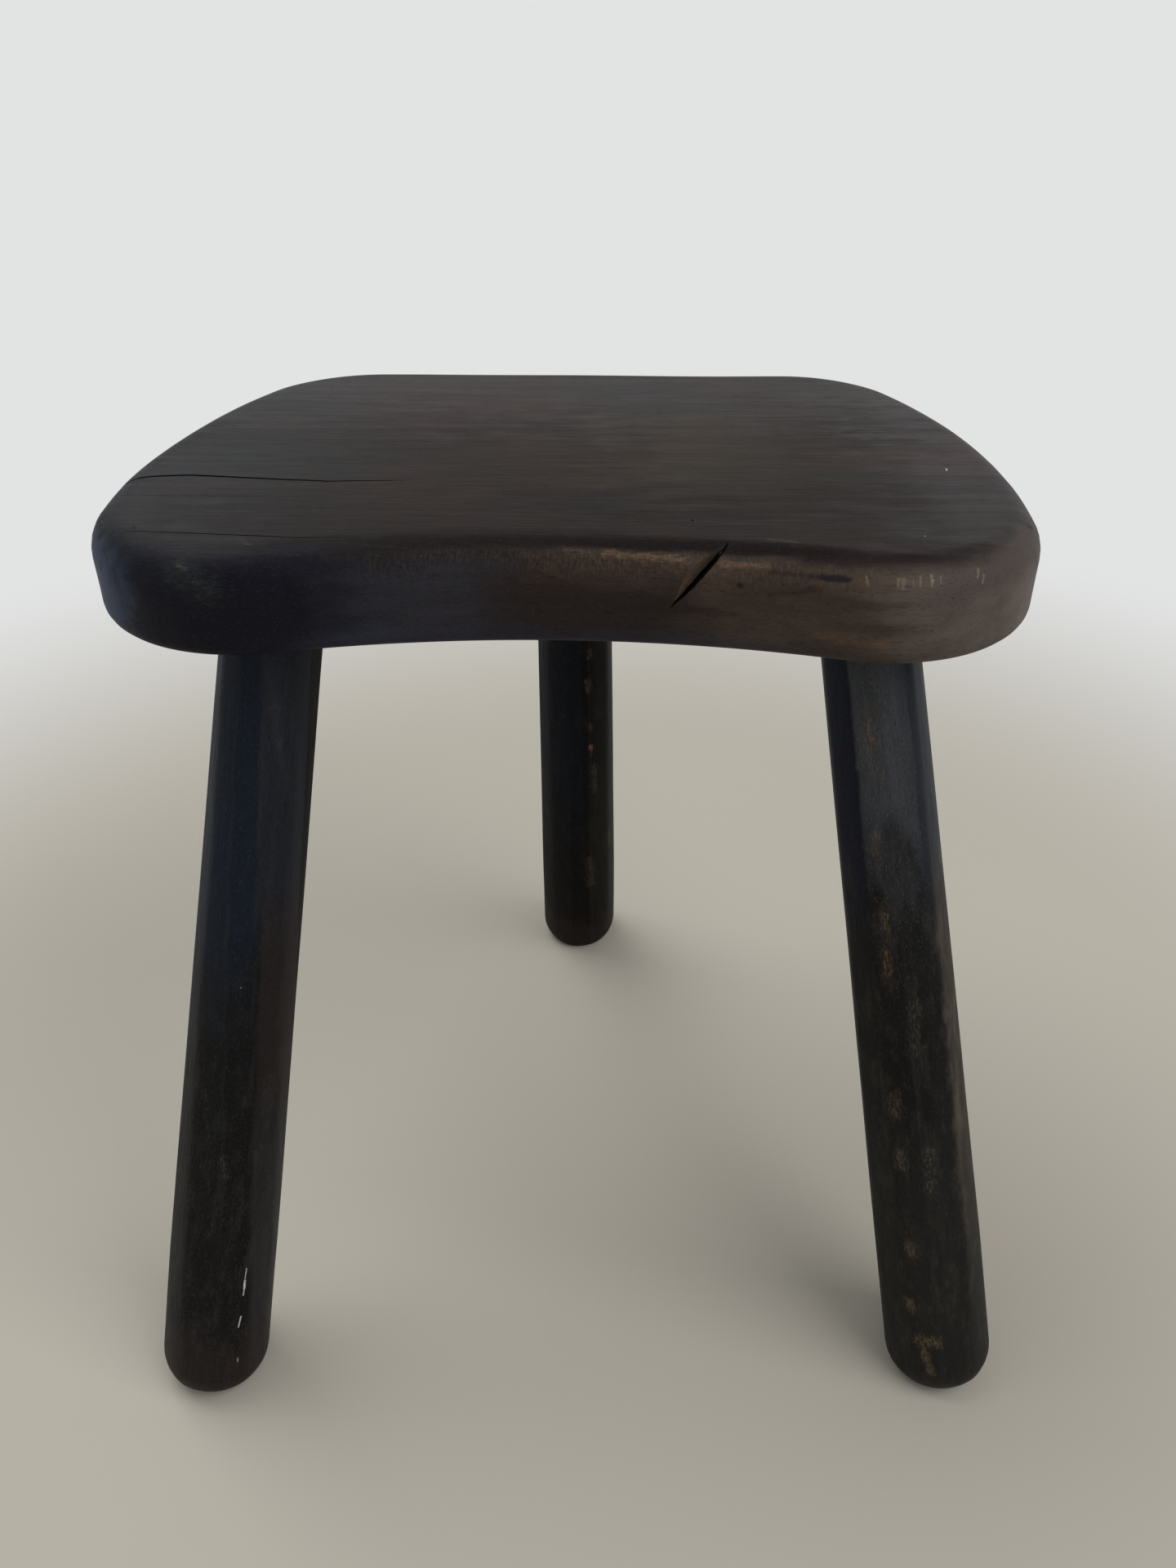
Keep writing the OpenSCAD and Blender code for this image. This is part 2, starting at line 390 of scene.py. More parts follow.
def slice_cutter():
    """A wedge with its sharp edge deep in the wood: one flat face becomes the facet, one the wall.
    Its faces are a little torn, as split wood is."""
    bm = bmesh.new()
    for corner in (GOUGE_LOW, GOUGE_HIGH, GOUGE_MIDDLE + GOUGE_OUT * WALL_REACH,
                   GOUGE_MIDDLE + GOUGE_OUT * FACET_REACH + GOUGE_LEFT * FACET_WIDTH):
        bm.verts.new(corner)
    bmesh.ops.convex_hull(bm, input=bm.verts[:])
    bmesh.ops.subdivide_edges(bm, edges=bm.edges[:], cuts=15, use_grid_fill=True)
    bm.normal_update()
    for vert in bm.verts:
        torn = noise.noise(Vector((vert.co.x * 160, vert.co.y * 700, vert.co.z * 700)))
        vert.co += vert.normal * TORN * torn
    return to_object(bm, "gouge", FRESH_WOOD)


def slit_cutter():
    """A thin deep blade along the sharp edge of the slice, where the wood split further."""
    along = GOUGE_HIGH - GOUGE_LOW
    deep = -GOUGE_OUT.normalized()
    wide = deep.cross(along).normalized()
    sides = Matrix((wide * SLIT_WIDTH, deep * SLIT_DEPTH, along * SLIT_LENGTH))
    place = sides.transposed().to_4x4()
    place.translation = GOUGE_MIDDLE + GOUGE_OUT * SLIT_START
    bm = spindle(40, place)
    for vert in bm.verts:
        vert.co += wide * SLIT_FRAY * noise.noise(vert.co * 420)
    return to_object(bm, "slit", CRACK_DIRT_AND_SHADE)


combine(seat, slice_cutter())
combine(seat, slit_cutter())
report(seat)

# %% The pin hole
PIN_HOLE_AT = (43.3 * MM, -93.2 * MM, SEAT_TOP)
bm = bmesh.new()
bmesh.ops.create_cone(bm, cap_ends=True, segments=12, radius1=0.5 * MM, radius2=0.6 * MM,
                      depth=6 * MM, matrix=Matrix.Translation(PIN_HOLE_AT))
combine(seat, to_object(bm, "pin_hole", CRACK_DIRT_AND_SHADE))
report(seat)

# %% [markdown]
# ## The legs
# Each leg is a tapered stick, thicker at the foot, shaved with a knife until it was nearly round,
# so it shows long narrow flats. A cone would give the taper but not the foot. A lathe shape calls
# for a spin: the half profile is drawn once and turned about the leg's own axis. The flats come
# from a ring of tangent planes, blended so that their corners stay soft.

# %% Leg sizes
FOOT_RADIUS, NECK_RADIUS = 24.0 * MM, 17.5 * MM
FOOT_ROUND, FOOT_LEVEL = 17.0 * MM, 5.5 * MM
INSET_SIDE, INSET_FRONT, INSET_BACK = 63.0 * MM, 46.0 * MM, 44.0 * MM
OUT, FORWARD, BACK = (math.tan(math.radians(a)) for a in (10.3, 11.5, 15.6))


class Lean:
    """Where one leg stands: the distance to its neck, the matrix that places it, and where its
    foot starts. It is made from its middle under the seat and its slopes going up."""

    def __init__(self, x, y, slope_x, slope_y):
        rise = math.sqrt(1 + slope_x ** 2 + slope_y ** 2)
        self.neck = SEAT_UNDER * rise
        foot = Vector((x - SEAT_UNDER * slope_x, y + SEAT_MIDDLE_Y - SEAT_UNDER * slope_y, 0))
        self.place = (Matrix.Translation(foot) @ Matrix.Rotation(math.atan(slope_x), 4, "Y")
                      @ Matrix.Rotation(-math.asin(slope_y / rise), 4, "X"))
        tilt = math.sqrt(1 - 1 / rise ** 2)
        flat_reach = (FOOT_RADIUS - FOOT_ROUND) * tilt
        self.start = (FOOT_ROUND - FOOT_LEVEL + flat_reach) * rise - FOOT_ROUND


SIDE_X, FRONT_Y = SEAT_HALF - INSET_SIDE, INSET_FRONT - BACK_Y
LEANS = {
    "leg_front_left": Lean(-SIDE_X, FRONT_Y, OUT, FORWARD),
    "leg_front_right": Lean(SIDE_X, FRONT_Y, -OUT, FORWARD),
    "leg_rear": Lean(0, BACK_Y - INSET_BACK, 0, -BACK),
}
for name, lean in LEANS.items():
    print(name, "is", round(lean.neck / MM, 1), "mm long up to the seat")


# %% Turn a leg
def turned(lean):
    """The leg as a spun profile about Z: rounded foot, long taper, and a flat top past the neck."""
    bm = bmesh.new()
    flat, start = FOOT_RADIUS - FOOT_ROUND, lean.start
    middle, flat_rim = bm.verts.new((0, 0, start)), bm.verts.new((flat, 0, start))
    bm.edges.new((middle, flat_rim))
    arc = bmesh.ops.spin(bm, geom=[flat_rim], cent=(flat, 0, start + FOOT_ROUND),
                         axis=(0, -1, 0), angle=math.pi / 2, steps=10)
    heel = next(v for v in arc["geom_last"] if isinstance(v, bmesh.types.BMVert))
    top = lean.neck + NECK_RADIUS
    top_radius = FOOT_RADIUS + (NECK_RADIUS - FOOT_RADIUS) * top / lean.neck
    top_rim = bm.verts.new((top_radius, 0, top))
    long_edge = bm.edges.new((heel, top_rim))
    bm.edges.new((top_rim, bm.verts.new((0, 0, top))))
    bmesh.ops.subdivide_edges(bm, edges=[long_edge], cuts=70)
    bmesh.ops.spin(bm, geom=bm.verts[:] + bm.edges[:], cent=(0, 0, 0), axis=(0, 0, 1),
                   angle=2 * math.pi, steps=84, use_merge=True)
    bmesh.ops.remove_doubles(bm, verts=bm.verts, dist=0.01 * MM)
    bmesh.ops.recalc_face_normals(bm, faces=bm.faces)
    return bm


# %% Shave it
# for each leg: direction of its ridge in degrees, its drift in radians a metre, and how many flats
RIDGES = {"leg_front_left": (-64, -2.2, 11), "leg_front_right": (-127, 0.0, 10),
          "leg_rear": (-68, 0.0, 11)}
RIDGE_FROM = 0.19
# how hard the corners between flats are, what keeps the leg's girth, how wide a ridge is, how much
# a flat wavers, and how much of the flats shows at the very foot and how much more above it
CORNERS, GIRTH, RIDGE_WIDTH, WAVER = 90, 1.016, 0.028, 0.012
AT_FOOT, ABOVE_FOOT = 0.12, 0.48
for name, (_, _, count) in RIDGES.items():
    print(name, "has", count, "flats")


def knife_flats(name):
    """The flats of one leg: direction, drift along the leg, depth and noise seed of each. Two of
    them meet in the ridge that is named for this leg."""
    random.seed(name)
    ridge, drift, count = RIDGES[name]
    ridge = math.radians(ridge)
    flats = []
    for i in range(count):
        loose = 0.25 if 0 < i < count - 1 else 0.05
        angle = ridge + 2 * math.pi * (i + 0.5 + random.uniform(-loose, loose)) / count
        near = max(0.0, math.cos(angle - ridge))
        flats.append((angle, drift * near + random.uniform(-0.5, 0.5) * loose * 4,
                      random.uniform(-0.006, 0.008), random.uniform(0, 90)))
    return flats


def flat_at(flats, turn, height):
    """How far the flats lie inside or outside the round leg here, and how near a ridge is."""
    faces = []
    for angle, drift, depth, seed in flats:
        facing = math.cos(turn - angle - drift * (height - RIDGE_FROM))
        if facing > 0.3:
            waver = WAVER * noise.noise(Vector((height * 12, seed, 0)))
            faces.append(facing / (1 + depth + waver))
    faces.sort()
    blended = sum(f ** CORNERS for f in faces) ** (-1 / CORNERS) * GIRTH - 1
    return blended, share_of(faces[-2] / faces[-1], 1 - RIDGE_WIDTH, 1.0)


def shave(bm, name):
    """Turns the round leg into long soft flats, each a little askew, that fade out at the foot."""
    flats = knife_flats(name)
    for vert in bm.verts:
        if vert.co.xy.length < 0.5 * MM:
            continue
        blended, _ = flat_at(flats, math.atan2(vert.co.y, vert.co.x), vert.co.z)
        share = AT_FOOT + ABOVE_FOOT * share_of(vert.co.z, 15 * MM, 75 * MM)
        rough = 0.0035 * noise.noise(Vector((vert.co.x * 90, vert.co.y * 90, vert.co.z * 22)))
        vert.co.xy *= 1 + blended * share + rough


# %% [markdown]
# ## The joints
# The leg's top end is a round tenon, which fills a blind mortise in the plank, and its shoulder is
# cut to lie flat against the underside. A wedge in the tenon's saw cut spreads it there. None of
# this shows, and a leg pushed into the seat would look the same from outside. It is still made,
# with Booleans, so that a leg taken out is a real leg and the hole behind it a real hole.

# %% Joint sizes
BARE_WOOD = bpy.data.materials.new("bare_wood")
TENON_RADIUS, MORTISE_DEPTH = 13.0 * MM, 24.0 * MM
END_GAP, GLUE_GAP = 1.5 * MM, 0.15 * MM
WEDGE_THICK, KERF_WIDTH, KERF_DEPTH = 4.0 * MM, 1.2 * MM, 18.0 * MM
JOINT_OVERLAP = 30.0 * MM
print("tenon:", 2 * TENON_RADIUS / MM, "mm thick, in a mortise", MORTISE_DEPTH / MM, "mm deep")


def cut_level(bm, height, keep_below):
    """Cuts a leg off level at a height in the world and closes the cut."""
    bmesh.ops.bisect_plane(bm, geom=bm.verts[:] + bm.edges[:] + bm.faces[:], dist=0.001 * MM,
                           plane_co=(0, 0, height), plane_no=(0, 0, 1),
                           clear_outer=keep_below, clear_inner=not keep_below)
    bmesh.ops.holes_fill(bm, edges=[e for e in bm.edges if len(e.link_faces) == 1], sides=0)


def rod(name, radius, low, high, place):
    """A straight bare rod along a leg's axis, between two distances from its foot."""
    bm = bmesh.new()
    at = place @ Matrix.Translation((0, 0, (low + high) / 2))
    bmesh.ops.create_cone(bm, cap_ends=True, segments=64, radius1=radius, radius2=radius,
                          depth=high - low, matrix=at)
    return to_object(bm, name, BARE_WOOD)


def saw_cut(lean):
    """The slot in the tenon's end, opened to a taper by the wedge."""
    bm = bmesh.new()
    bmesh.ops.create_cube(bm, size=1.0)
    end = lean.neck + MORTISE_DEPTH - END_GAP
    for vert in bm.verts:
        wide, high = KERF_WIDTH, end - KERF_DEPTH
        if vert.co.z > 0:
            wide, high = WEDGE_THICK * (1 + END_GAP / KERF_DEPTH), end + END_GAP
        vert.co = (math.copysign(wide / 2, vert.co.x),
                   math.copysign(TENON_RADIUS + MM, vert.co.y), high)
    bmesh.ops.transform(bm, matrix=lean.place, verts=bm.verts)
    return to_object(bm, "saw_cut", BARE_WOOD)


# %% Make the three legs and their mortises
legs = {}
for node_name, lean in LEANS.items():
    stain = bpy.data.materials.new("stained_" + node_name)
    bm = turned(lean)
    shave(bm, node_name)
    bmesh.ops.transform(bm, matrix=lean.place, verts=bm.verts)
    cut_level(bm, SEAT_UNDER, True)
    cut_level(bm, 0.0, False)
    leg = to_object(bm, node_name.replace("leg", "shaved_leg"), stain)
    low, end = lean.neck - JOINT_OVERLAP, lean.neck + MORTISE_DEPTH
    combine(leg, rod("tenon", TENON_RADIUS, low, end - END_GAP, lean.place), "UNION")
    combine(leg, saw_cut(lean))
    combine(seat, rod("mortise", TENON_RADIUS + GLUE_GAP, low, end, lean.place))
    shade(leg)
    report(leg)
    legs[node_name] = leg
shade(seat)
report(seat)

# %% [markdown]
# ## What the paint needs to know
# Stain and wear follow the shape: the rim of the top, the band below it, the ridges between two
# flats of a leg. They could be painted by hand as vertex colours, but those are only as fine as the
# mesh. Instead each of these is stored as a smooth number, such as the distance from the plank's
# outline. The material compares it with limits of its own, and that keeps every painted edge crisp,
# however coarse the mesh is.


# %% Numbers on the seat
def store(obj, masks):
    """Keeps each named number as a vertex attribute."""
    for name, values in masks.items():
        attribute = obj.data.attributes.new(name, "FLOAT", "POINT")
        attribute.data.foreach_set("value", np.asarray(values, dtype=np.float32))


points = np.empty(len(seat.data.vertices) * 3, dtype=np.float32)
seat.data.vertices.foreach_get("co", points)
flat = (points.reshape(-1, 3) - np.array(SEAT_PLACE.translation)) @ np.array(SEAT_PLACE.to_3x3())
gap, outward = inside_rim(flat[:, :2])
# 0 where the rim faces the side or the back, 1 where it faces forward, and a smooth step between
FRONT_FROM, FRONT_FULL = 0.25, 0.80
forward = np.clip((-outward[:, 1] - FRONT_FROM) / (FRONT_FULL - FRONT_FROM), 0, 1)
store(seat, {"inset": gap / MM, "front": forward * forward * (3 - 2 * forward)})
print("numbers on the seat:", len(gap))

# %% Numbers on the legs
for node_name, leg in legs.items():
    flats = knife_flats(node_name)
    inward = LEANS[node_name].place.inverted()
    ridges = []
    for vert in leg.data.vertices:
        local = inward @ vert.co
        ridges.append(flat_at(flats, math.atan2(local.y, local.x), local.z)[1])
    store(leg, {"ridge": ridges})
    print(node_name, "share of ridges:", round(sum(ridges) / len(ridges), 2))

# %% [markdown]
# ## Marks that are placed one by one
# A scratch could be placed by measuring, but it is easier to say at which pixel the camera sees it.
# A ray from the camera through that pixel is followed to the wood, and the point where it lands is
# kept. So the mark lies on the surface itself and is right from every side.

# %% Find a point
PICTURE_WIDE, PICTURE_HIGH = 1440, 1920
surfaces = {}


def seen_at(piece, across, down):
    """The point of a piece that the camera sees at this pixel of the picture."""
    if piece.name not in surfaces:
        bm = bmesh.new()
        bm.from_mesh(piece.data)
        surfaces[piece.name] = BVHTree.FromBMesh(bm)
        bm.free()
    reach = CAMERA_LENS / view.sensor_width * PICTURE_HIGH
    ray = Vector((across - PICTURE_WIDE / 2, PICTURE_HIGH / 2 - down, -reach)).normalized()
    hit = surfaces[piece.name].ray_cast(CAMERA_AT, camera.matrix_world.to_3x3() @ ray)[0]
    if hit is None:
        raise ValueError(f"nothing of {piece.name} is seen at {across}, {down}")
    return hit


print("the gouge ends at", [round(c / MM, 1) for c in seen_at(seat, 822, 740)])

# %% [markdown]
# ## Node helpers
# A material is a small graph of nodes, which can be drawn in the editor or built by code. These
# helpers add a node, link what is a socket and set what is a value, so that the graphs below read
# like sentences and any of them can be changed in one place.


# %% Add and combine nodes
def add(tree, kind, inputs=None, **settings):
    """Adds a node, with its settings first and then its inputs, as links or as values."""
    node = tree.nodes.new("ShaderNode" + kind)
    for name, value in settings.items():
        setattr(node, name, value)
    for name, value in (inputs or {}).items():
        if isinstance(value, bpy.types.NodeSocket):
            tree.links.new(value, node.inputs[name])
        else:
            node.inputs[name].default_value = value
    return node


def calc(tree, operation, *values, clamp=False):
    """One sum, on sockets or numbers."""
    return add(tree, "Math", dict(enumerate(values)), operation=operation,
               use_clamp=clamp).outputs[0]


def soft_step(tree, value, low, high, start=0.0, end=1.0):
    """Maps a value smoothly from low..high to start..end."""
    limits = {"Value": value, "From Min": low, "From Max": high, "To Min": start, "To Max": end}
    return add(tree, "MapRange", limits, interpolation_type="SMOOTHSTEP").outputs["Result"]


def mix(tree, share, first, second):
    """Mixes two colours by a share."""
    return add(tree, "Mix", {0: share, 6: first, 7: second}, data_type="RGBA").outputs[2]


def noise_at(tree, vector, stretch, seed, detail=2.0, rough=0.5):
    """Noise between 0 and 1 on a vector that is stretched, with a seed as its fourth dimension."""
    scaled = add(tree, "VectorMath", {0: vector, 1: stretch}, operation="MULTIPLY").outputs[0]
    settings = {"Vector": scaled, "W": seed, "Scale": 1.0, "Detail": detail, "Roughness": rough}
    return add(tree, "TexNoise", settings, noise_dimensions="4D").outputs["Fac"]


# %% Colours and groups
def color(red, green, blue):
    """A colour from its usual 0 to 255 values, made linear."""
    parts = [c / 255 for c in (red, green, blue)]
    return [c / 12.92 if c < 0.04045 else ((c + 0.055) / 1.055) ** 2.4 for c in parts] + [1.0]


def group(name, inputs, outputs):
    """Starts a node group with its sockets, and gives the tree, its inputs and its output node."""
    tree = bpy.data.node_groups.new(name, "ShaderNodeTree")
    for socket, value in inputs.items():
        kind = "NodeSocketVector" if value is None else "NodeSocketFloat"
        made = tree.interface.new_socket(name=socket, in_out="INPUT", socket_type=kind)
        if value is not None:
            made.default_value = value
    for socket in outputs:
        tree.interface.new_socket(name=socket, in_out="OUTPUT", socket_type="NodeSocketFloat")
    into, out = tree.nodes.new("NodeGroupInput"), tree.nodes.new("NodeGroupOutput")
    return tree, into.outputs, out.inputs


def place_group(tree, kind, vector, **values):
    """Places a node group in a material with its own values."""
    return add(tree, "Group", {"Vector": vector, **values}, node_tree=kind).outputs


print("a middle grey of 128 is", round(color(128, 128, 128)[0], 3), "in linear light")

# %% [markdown]
# ## Grain
# Wood is a bundle of long cells. A picture of it would repeat and blur close up, so its pattern is
# noise that is pulled out along the board. Three sizes make it believable: year rings a few
# millimetres wide, fibres well under a millimetre, and the short dark pores of a hardwood. Short
# pale flecks show where the stain has rubbed off single fibres. The group works along its own X
# axis, and each material turns its coordinates so that X runs along its board or its leg.

# %% Grain group
grain_group, into, out = group("wood_grain", {"Vector": None, "Seed": 0.0},
                               ["Rings", "Fibres", "Pores", "Flecks"])
bend = noise_at(grain_group, into["Vector"], (7, 22, 22), into["Seed"], 1.0)
bend = calc(grain_group, "MULTIPLY", calc(grain_group, "SUBTRACT", bend, 0.5), 0.006)
bend = add(grain_group, "CombineXYZ", {"Y": bend, "Z": bend}).outputs[0]
bent = add(grain_group, "VectorMath", {0: into["Vector"], 1: bend}, operation="ADD").outputs[0]
fleck_seed = calc(grain_group, "ADD", into["Seed"], 3.0)
# each pattern: stretch, seed, detail and roughness of its noise, and where it starts and is full
for name, stretch, seed, detail, rough, low, high in (
        ("Rings", (10, 180, 180), into["Seed"], 3.0, 0.6, 0.30, 0.70),
        ("Fibres", (45, 1300, 1300), into["Seed"], 2.0, 0.6, 0.25, 0.75),
        ("Pores", (260, 3600, 3600), into["Seed"], 0.0, 0.5, 0.64, 0.78),
        ("Flecks", (700, 2800, 2800), fleck_seed, 1.0, 0.5, 0.56, 0.72)):
    pattern = noise_at(grain_group, bent, stretch, seed, detail, rough)
    grain_group.links.new(soft_step(grain_group, pattern, low, high), out[name])
print("grain group:", len(grain_group.nodes), "nodes")

# %% [markdown]
# ## Cloudy stain
# Stain soaks in unevenly and years of hands thin it in clouds. One colour with a little noise would
# look sprayed on. So one group gives two broad cloud masks, for warmer and cooler wood, a little
# longer along the grain than across it.

# %% Cloud group
cloud_group, into, out = group("stain_clouds", {"Vector": None, "Seed": 0.0}, ["Warm", "Cool"])
for name, step, stretch, low, high in (("Warm", 3.0, (9, 17, 17), 0.46, 0.68),
                                       ("Cool", 11.0, (11, 20, 20), 0.48, 0.70)):
    seed = calc(cloud_group, "ADD", into["Seed"], step)
    clouds = noise_at(cloud_group, into["Vector"], stretch, seed, 3.0, 0.55)
    cloud_group.links.new(soft_step(cloud_group, clouds, low, high), out[name])
print("cloud group:", len(cloud_group.nodes), "nodes")

# %% [markdown]
# ## Single marks
# Some marks can be pointed at: a scratch, a scuff, a smudge. Each is a short stroke between two
# points, with a width, a softness and an edge broken by noise. A stroke may also be made of flecks,
# as where a knock has taken the coat off the high fibres only. A painted picture could hold them
# all. The group measures how far a point of the surface is from the stroke instead, which works on
# any shape and at any size.

# %% Stroke group
# how far its noise pushes an edge about, in widths of its softness
EDGE_WANDER = 2.5
stroke_group, into, out = group(
    "stroke", {"Vector": None, "From": None, "To": None, "Width": 0.001, "Soft": 0.5,
               "Ragged": 0.5, "Flecked": 0.0}, ["Mark"])


def stroke_sum(operation, *values):
    """One sum on numbers inside the stroke group."""
    return calc(stroke_group, operation, *values)


def vector_sum(operation, *values, output=0):
    """One sum on vectors inside the stroke group."""
    return add(stroke_group, "VectorMath", dict(enumerate(values)),
               operation=operation).outputs[output]


# %% Distance from a stroke
reach = vector_sum("SUBTRACT", into["Vector"], into["From"])
line = vector_sum("SUBTRACT", into["To"], into["From"])
squared = stroke_sum("ADD", vector_sum("DOT_PRODUCT", line, line, output=1), 1e-9)
share = calc(stroke_group, "DIVIDE", vector_sum("DOT_PRODUCT", reach, line, output=1), squared,
             clamp=True)
nearest = add(stroke_group, "VectorMath", {0: line, "Scale": share}, operation="SCALE").outputs[0]
distance = vector_sum("LENGTH", vector_sum("SUBTRACT", reach, nearest), output=1)
print("stroke group so far:", len(stroke_group.nodes), "nodes")

# %% Edge and flecks of a stroke
# the distance in half widths is made ragged, and steps softly from the mark to the wood beside it
ragged = noise_at(stroke_group, into["Vector"], (280, 900, 900), 0.0, 2.0, 0.6)
ragged = stroke_sum("MULTIPLY", stroke_sum("SUBTRACT", ragged, 0.5), into["Ragged"])
relative = stroke_sum("DIVIDE", distance, stroke_sum("MULTIPLY", into["Width"], 0.5))
relative = stroke_sum("ADD", relative, stroke_sum("MULTIPLY", ragged, EDGE_WANDER))
mark = soft_step(stroke_group, relative, stroke_sum("SUBTRACT", 1.0, into["Soft"]),
                 stroke_sum("ADD", 1.0, into["Soft"]), 1.0, 0.0)
# where it is flecked, only the flecks stay
fleck = noise_at(stroke_group, into["Vector"], (420, 1300, 1300), 5.0, 2.0, 0.7)
between = stroke_sum("SUBTRACT", 1.0, soft_step(stroke_group, fleck, 0.47, 0.60))
whole = stroke_sum("SUBTRACT", 1.0, stroke_sum("MULTIPLY", into["Flecked"], between))
stroke_group.links.new(stroke_sum("MULTIPLY", mark, whole), out["Mark"])
print("stroke group:", len(stroke_group.nodes), "nodes")


# %% [markdown]
# ## Zones of a finish and of painted light
# A zone is a part of the surface with its own tint: the rubbed band, or painted light and shade
# such as the darkened rim and the blue flat of a leg. Separate materials would meet along a hard
# line of faces. A zone is named by limits instead, such as the distance along the board or from its
# outline, and its edge wanders with a slow noise, because nobody rubs along a ruler.

# %% Zones
def places(tree, along, ridge):
    """The numbers that a zone may name: x, y and z in millimetres, on a leg the turn in degrees
    from its ridge, and the wander of the edges."""
    split = add(tree, "SeparateXYZ", {"Vector": along}).outputs
    found = {axis: calc(tree, "MULTIPLY", split[axis.upper()], 1 / MM) for axis in "xyz"}
    wander = noise_at(tree, along, (45, 130, 130), 9.0, 2.0, 0.6)
    found["wander"] = calc(tree, "SUBTRACT", wander, 0.5)
    if ridge:
        start, drift, _ = ridge
        angle = calc(tree, "ARCTAN2", split["Y"], calc(tree, "MULTIPLY", split["Z"], -1.0))
        turned_by = calc(tree, "MULTIPLY", calc(tree, "SUBTRACT", split["X"], RIDGE_FROM), drift)
        away = calc(tree, "SUBTRACT", calc(tree, "SUBTRACT", angle, turned_by),
                    math.radians(start))
        turn = calc(tree, "WRAP", away, math.pi, -math.pi)
        found["turn"] = calc(tree, "MULTIPLY", turn, 180 / math.pi)
    return found


def zone(tree, found, limits):
    """A mask that is 1 where every named number lies between its limits. A limit of None is open,
    and a name that isn't a place is an attribute of the mesh."""
    share = None
    for name, low, high, soft in limits:
        if name not in found:
            found[name] = add(tree, "Attribute", attribute_name=name).outputs["Fac"]
        value = calc(tree, "MULTIPLY_ADD", found["wander"], soft * EDGE_WANDER, found[name])
        for limit, start, end in ((low, 0.0, 1.0), (high, 1.0, 0.0)):
            if limit is not None:
                side = soft_step(tree, value, limit - soft, limit + soft, start, end)
                share = side if share is None else calc(tree, "MULTIPLY", share, side)
    return share


# %% [markdown]
# ## Dark stained wood
# Seat and legs are finished alike: a dark brown between two tones that follow the year rings,
# clouds of warmer and cooler stain over it, then the zones, dark pores, pale flecks and at last the
# marks. Seven materials built one by one would drift apart, so one recipe fills them all. The gloss
# is a thin old wax, so the roughness varies with the grain as well, and a faint bump raises the
# fibres.

# %% Patterns, zones and marks
def wear_patterns(tree, along, seed, tone, grain, wanted):
    """What a zone may be broken up by: the tones or the flecks of the wood, chatter marks that a
    plane left across it, or patches where the coat is rubbed off the high fibres."""
    patterns = {"Tone": soft_step(tree, tone, 0.15, 0.85, 0.68, 1.0), "Flecks": grain["Flecks"]}
    if "Chatter" in wanted:
        cuts = noise_at(tree, along, (1200, 420, 420), seed, 3.0, 0.7)
        patterns["Chatter"] = soft_step(tree, cuts, 0.40, 0.66)
    if "Patches" in wanted:
        rubbed = noise_at(tree, along, (55, 150, 150), seed, 5.0, 0.72)
        high_fibres = soft_step(tree, grain["Fibres"], 0.25, 0.75, 0.35, 1.0)
        patterns["Patches"] = calc(tree, "MULTIPLY", soft_step(tree, rubbed, 0.47, 0.66),
                                   high_fibres)
    return patterns


def paint_zones(tree, base, height, found, patterns, zones):
    """Lays the tint of each zone over the base colour, broken up by its pattern. Chatter marks add
    to the height as well."""
    for tint, strength, pattern, *limits in zones:
        mask = calc(tree, "MULTIPLY", zone(tree, found, limits), strength)
        if pattern:
            mask = calc(tree, "MULTIPLY", mask, patterns[pattern])
        if pattern == "Chatter":
            height = calc(tree, "ADD", height, mask)
        base = mix(tree, mask, base, color(*tint))
    return base, height


def paint_marks(tree, base, along, space, marks):
    """Lays each mark over the base colour as a stroke."""
    inward = space.inverted()
    for start, end, width, soft, ragged, flecks, tint, strength in marks:
        stroke = place_group(tree, stroke_group, along, From=(inward @ start)[:],
                             To=(inward @ end)[:], Width=width * MM, Soft=soft, Ragged=ragged,
                             Flecked=flecks)["Mark"]
        base = mix(tree, calc(tree, "MULTIPLY", stroke, strength), base, color(*tint))
    return base


# %% Stained wood recipe
# how much rings and fibres add to the tone, fibres to the roughness, and pores to the dark
RING_SHARE, FIBRE_SHARE, FIBRE_ROUGH, PORE_TONE, PORE_SHARE = 0.6, 0.4, 0.16, 0.35, 0.55


